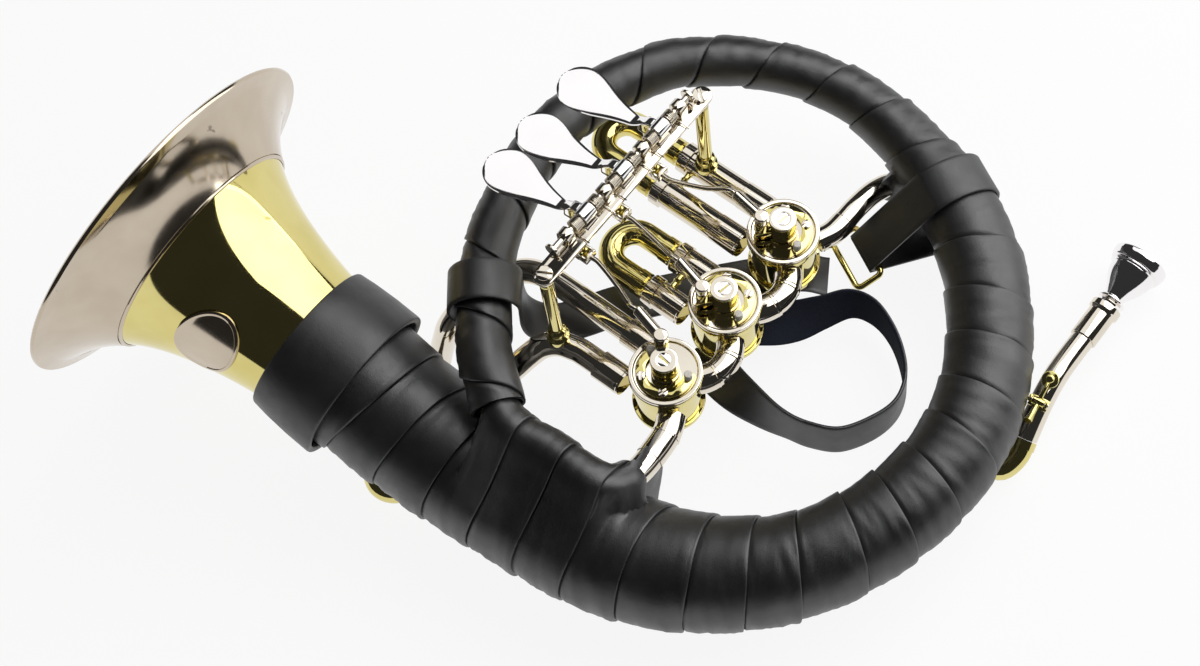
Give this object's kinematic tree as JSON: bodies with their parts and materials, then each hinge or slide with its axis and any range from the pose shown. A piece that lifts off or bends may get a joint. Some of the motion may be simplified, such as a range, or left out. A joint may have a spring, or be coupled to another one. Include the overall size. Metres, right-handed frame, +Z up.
{
  "type": "hunting horn",
  "caption": "Small valved hunting horn: leather-wrapped coil, flared bell, three rotary valves with levers, links, slides, mouthpiece, water key and straps.",
  "frame": {"origin": "centre of the bounding box at its base, where the horn rests on a table", "axes": "+X from the bell towards the mouthpiece, +Z up from the table, +Y to the side the levers' touchpieces face"},
  "size_m": [0.485, 0.2646, 0.1797],
  "materials": {
    "leather": "black satin",
    "brass": "polished and lacquered",
    "nickel_silver": "polished",
    "silver": "mirror polished",
    "cork": "natural"
  },
  "bodies": {
    "horn": {"back_post": "brass", "back_post_screw": "nickel_silver", "bell": "brass", "bell_collar": "leather", "bell_garland": "nickel_silver", "bell_plate": "nickel_silver", "coil_strap": "leather", "coil_tube": "brass", "front_post": "brass", "front_post_screw": "nickel_silver", "hand_strap": "leather", "knuckle_1_to_2": "nickel_silver", "knuckle_2_to_3": "nickel_silver", "leather_wrap": "leather", "lever_1_spring": "nickel_silver", "lever_2_spring": "nickel_silver", "lever_3_spring": "nickel_silver", "lever_axle": "nickel_silver", "lever_rail": "brass", "mouthpiece_receiver": "nickel_silver", "mouthpipe": "nickel_silver", "return_bow": "brass", "slack_strap": "leather", "slide_1_sleeves": "nickel_silver", "slide_2_sleeves": "nickel_silver", "slide_3_sleeves": "nickel_silver", "strap_ring": "brass", "valve_1_bearing_plate": "nickel_silver", "valve_1_bottom_cap": "nickel_silver", "valve_1_branch": "nickel_silver", "valve_1_bumper_plate": "nickel_silver", "valve_1_casing": "brass", "valve_2_bearing_plate": "nickel_silver", "valve_2_bottom_cap": "nickel_silver", "valve_2_bumper_plate": "nickel_silver", "valve_2_casing": "brass", "valve_3_bearing_plate": "nickel_silver", "valve_3_bottom_cap": "nickel_silver", "valve_3_branch": "nickel_silver", "valve_3_bumper_plate": "nickel_silver", "valve_3_casing": "brass", "water_key_saddle": "nickel_silver"},
    "lever_1": {"lever_1": "silver"},
    "link_1": {"link_1": "nickel_silver"},
    "rotor_1": {"valve_1_rotor": "brass", "valve_1_stop_arm": "silver"},
    "slide_1": {"slide_1_bow": "brass"},
    "lever_2": {"lever_2": "silver"},
    "link_2": {"link_2": "nickel_silver"},
    "rotor_2": {"valve_2_rotor": "brass", "valve_2_stop_arm": "silver"},
    "slide_2": {"slide_2_bow": "brass"},
    "lever_3": {"lever_3": "silver"},
    "link_3": {"link_3": "nickel_silver"},
    "rotor_3": {"valve_3_rotor": "brass", "valve_3_stop_arm": "silver"},
    "slide_3": {"slide_3_bow": "brass"},
    "mouthpiece": {"mouthpiece": "silver"},
    "water_key": {"water_key": "nickel_silver", "water_key_cork": "cork"}
  },
  "joints": [
    {"name": "lever_1_press", "type": "hinge", "parent": "horn", "child": "lever_1", "pos_m": [0.0467, 0.05909, 0.12035], "axis": [-0.6129, -0.7803, 0.1249], "range_deg": [0, 17.2], "stiffness_Nm_per_rad": 0.05, "springref_deg": -17.19},
    {"name": "link_1_level", "type": "hinge", "parent": "lever_1", "child": "link_1", "pos_m": [0.0346, 0.06213, 0.07996], "axis": [0.6129, 0.7803, -0.1249], "range_deg": [0, 17.2]},
    {"name": "rotor_1_turn", "type": "hinge", "parent": "horn", "child": "rotor_1", "pos_m": [0.08355, 0.03612, 0.04478], "axis": [0.1735, 0.0214, 0.9846], "range_deg": [0, 90]},
    {"name": "lever_2_press", "type": "hinge", "parent": "horn", "child": "lever_2", "pos_m": [0.0315, 0.03974, 0.12345], "axis": [-0.6129, -0.7803, 0.1249], "range_deg": [0, 17.2], "stiffness_Nm_per_rad": 0.05, "springref_deg": -17.19},
    {"name": "link_2_level", "type": "hinge", "parent": "lever_2", "child": "link_2", "pos_m": [0.0194, 0.04278, 0.08306], "axis": [0.6129, 0.7803, -0.1249], "range_deg": [0, 17.2]},
    {"name": "rotor_2_turn", "type": "hinge", "parent": "horn", "child": "rotor_2", "pos_m": [0.05842, 0.00413, 0.04991], "axis": [0.1735, 0.0214, 0.9846], "range_deg": [0, 90]},
    {"name": "lever_3_press", "type": "hinge", "parent": "horn", "child": "lever_3", "pos_m": [0.01649, 0.02062, 0.12651], "axis": [-0.6129, -0.7803, 0.1249], "range_deg": [0, 17.2], "stiffness_Nm_per_rad": 0.05, "springref_deg": -17.19},
    {"name": "link_3_level", "type": "hinge", "parent": "lever_3", "child": "link_3", "pos_m": [0.00438, 0.02366, 0.08612], "axis": [0.6129, 0.7803, -0.1249], "range_deg": [0, 17.2]},
    {"name": "rotor_3_turn", "type": "hinge", "parent": "horn", "child": "rotor_3", "pos_m": [0.03329, -0.02786, 0.05503], "axis": [-0.1735, -0.0214, -0.9846], "range_deg": [0, 90]},
    {"name": "slide_1_pull", "type": "slide", "parent": "horn", "child": "slide_1", "axis": [-0.7709, 0.6251, 0.1222], "range_m": [0, 0.035]},
    {"name": "slide_2_pull", "type": "slide", "parent": "horn", "child": "slide_2", "axis": [-0.7709, 0.6251, 0.1222], "range_m": [0, 0.012]},
    {"name": "slide_3_pull", "type": "slide", "parent": "horn", "child": "slide_3", "axis": [-0.4465, -0.8736, 0.1937], "range_m": [0, 0.006]},
    {"name": "mouthpiece_pull", "type": "slide", "parent": "horn", "child": "mouthpiece", "axis": [0.6266, 0.7784, -0.038], "range_m": [0, 0.012]},
    {"name": "water_key_lift", "type": "hinge", "parent": "horn", "child": "water_key", "pos_m": [0.18563, -0.03957, 0.02374], "axis": [0.843, -0.5201, -0.1372], "range_deg": [0, 15], "stiffness_Nm_per_rad": 0.005, "springref_deg": -17.19}
  ],
  "couplings": [
    {"joint": "link_1_level", "follows": "lever_1_press", "ratio": 1},
    {"joint": "rotor_1_turn", "follows": "lever_1_press", "ratio": 5.2326},
    {"joint": "link_2_level", "follows": "lever_2_press", "ratio": 1},
    {"joint": "rotor_2_turn", "follows": "lever_2_press", "ratio": 5.2326},
    {"joint": "link_3_level", "follows": "lever_3_press", "ratio": 1},
    {"joint": "rotor_3_turn", "follows": "lever_3_press", "ratio": 5.2326}
  ]
}
